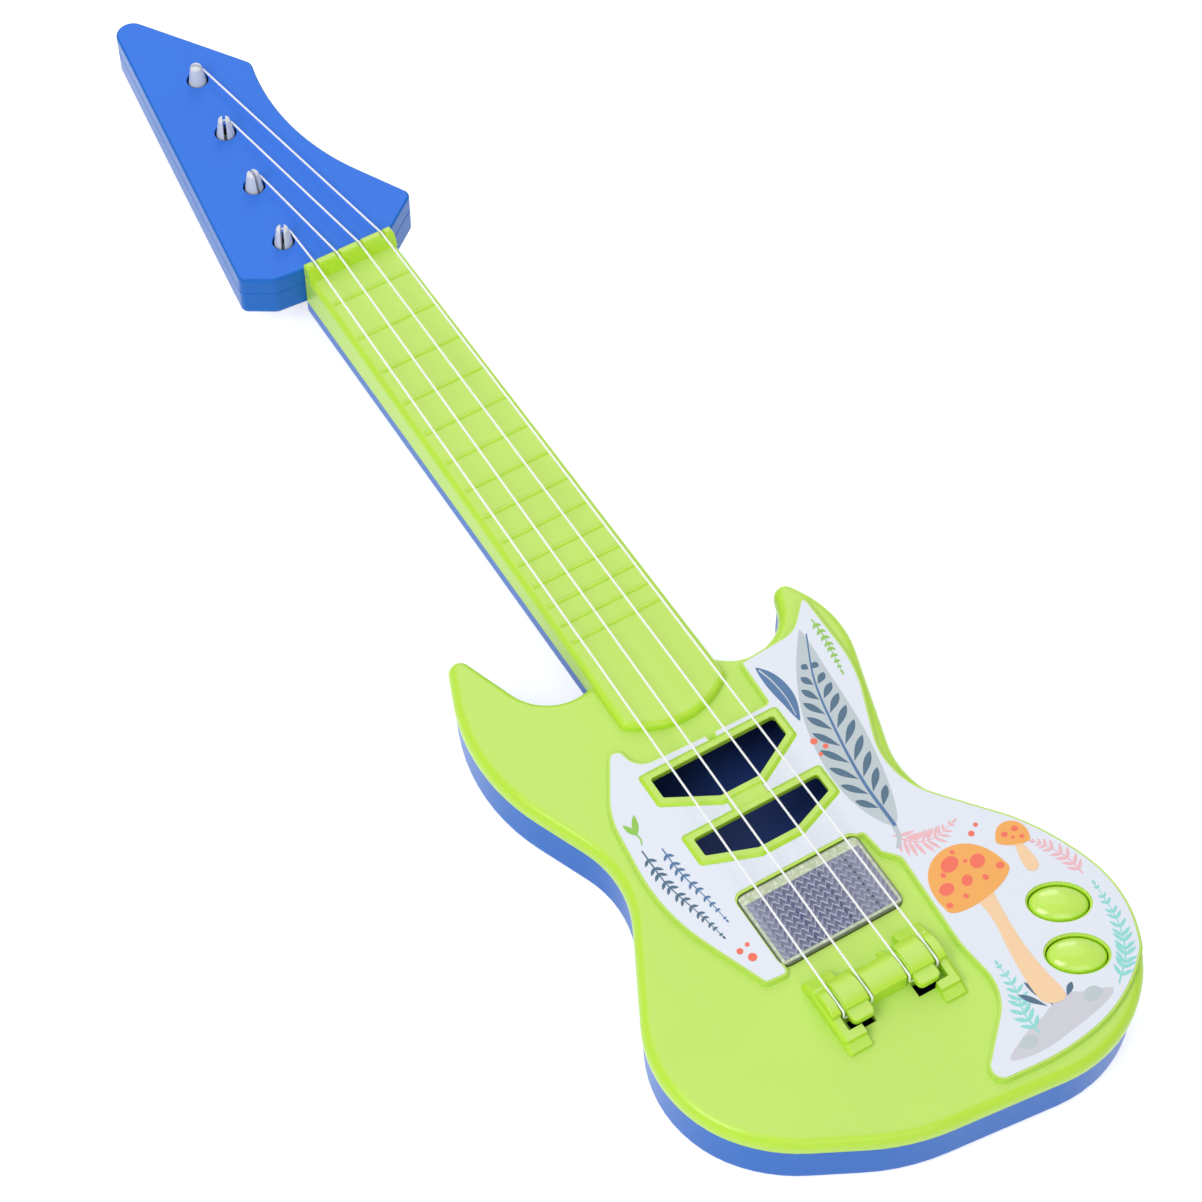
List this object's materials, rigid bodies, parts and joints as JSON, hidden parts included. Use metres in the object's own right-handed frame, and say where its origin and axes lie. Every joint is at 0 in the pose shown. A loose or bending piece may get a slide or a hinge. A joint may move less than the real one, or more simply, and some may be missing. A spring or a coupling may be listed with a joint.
{
  "type": "toy electric guitar",
  "caption": "Toy guitar with a moulded body and neck, pointed headstock, tuning pegs, strings hooked at a bridge, a light window, sound holes and play buttons.",
  "frame": {"origin": "on the flat back that the toy rests on, on the string axis at the middle of the body", "axes": "+Y up the neck to the headstock, +X to the high strings, +Z out of the front face"},
  "size_m": [0.1266, 0.4279, 0.0317],
  "materials": {
    "green_moulding": "satin",
    "blue_moulding": "satin",
    "peg_plastic": "satin",
    "printed_film": "satin",
    "window_plastic": "polished",
    "button_plastic": "polished",
    "string_nylon": "satin",
    "circuit_board": "satin",
    "black_plastic": "matte",
    "led_resin": "polished",
    "chip_resin": "satin",
    "pressed_steel": "satin",
    "cone_paper": "matte",
    "magnet_metal": "satin",
    "cell_jacket": "satin",
    "spring_steel": "polished",
    "screw_steel": "satin",
    "wire_insulation": "satin"
  },
  "bodies": {
    "toy_body": {"front_shell": "green_moulding", "back_shell": "blue_moulding", "headstock_cover": "blue_moulding", "printed_sticker": "printed_film", "light_window": "window_plastic", "upper_switch": "black_plastic", "lower_switch": "black_plastic", "button_board": "circuit_board", "main_board": "circuit_board", "sound_chip": "chip_resin", "leds": "led_resin", "speaker_basket": "pressed_steel", "speaker_cone": "cone_paper", "speaker_magnet": "magnet_metal", "battery_cells": "cell_jacket", "battery_springs": "spring_steel", "battery_plates": "spring_steel", "battery_door": "blue_moulding", "battery_door_screw": "screw_steel", "case_screws": "screw_steel", "headstock_screws": "screw_steel", "board_screws": "screw_steel", "low_string_pair": "string_nylon", "high_string_pair": "string_nylon", "battery_wires": "wire_insulation", "speaker_wires": "wire_insulation", "button_wires": "wire_insulation"},
    "peg_1_body": {"tuning_peg_1": "peg_plastic"},
    "peg_2_body": {"tuning_peg_2": "peg_plastic"},
    "peg_3_body": {"tuning_peg_3": "peg_plastic"},
    "peg_4_body": {"tuning_peg_4": "peg_plastic"},
    "upper_button_body": {"upper_button": "button_plastic", "upper_switch_plunger": "black_plastic"},
    "lower_button_body": {"lower_button": "button_plastic", "lower_switch_plunger": "black_plastic"}
  },
  "joints": [
    {"name": "peg_1_turn", "type": "hinge", "parent": "toy_body", "child": "peg_1_body", "pos_m": [-0.0138, 0.2477, 0.018], "axis": [0, 0, 1], "continuous": true},
    {"name": "peg_2_turn", "type": "hinge", "parent": "toy_body", "child": "peg_2_body", "pos_m": [-0.0112, 0.2703, 0.018], "axis": [0, 0, 1], "continuous": true},
    {"name": "peg_3_turn", "type": "hinge", "parent": "toy_body", "child": "peg_3_body", "pos_m": [-0.0086, 0.2929, 0.018], "axis": [0, 0, 1], "continuous": true},
    {"name": "peg_4_turn", "type": "hinge", "parent": "toy_body", "child": "peg_4_body", "pos_m": [-0.006, 0.3155, 0.018], "axis": [0, 0, 1], "continuous": true},
    {"name": "upper_button_press", "type": "slide", "parent": "toy_body", "child": "upper_button_body", "axis": [0, 0, -1], "range_m": [0, 0.001], "stiffness_N_per_m": 1200, "springref_m": -0.0003},
    {"name": "lower_button_press", "type": "slide", "parent": "toy_body", "child": "lower_button_body", "axis": [0, 0, -1], "range_m": [0, 0.001], "stiffness_N_per_m": 1200, "springref_m": -0.0003}
  ]
}
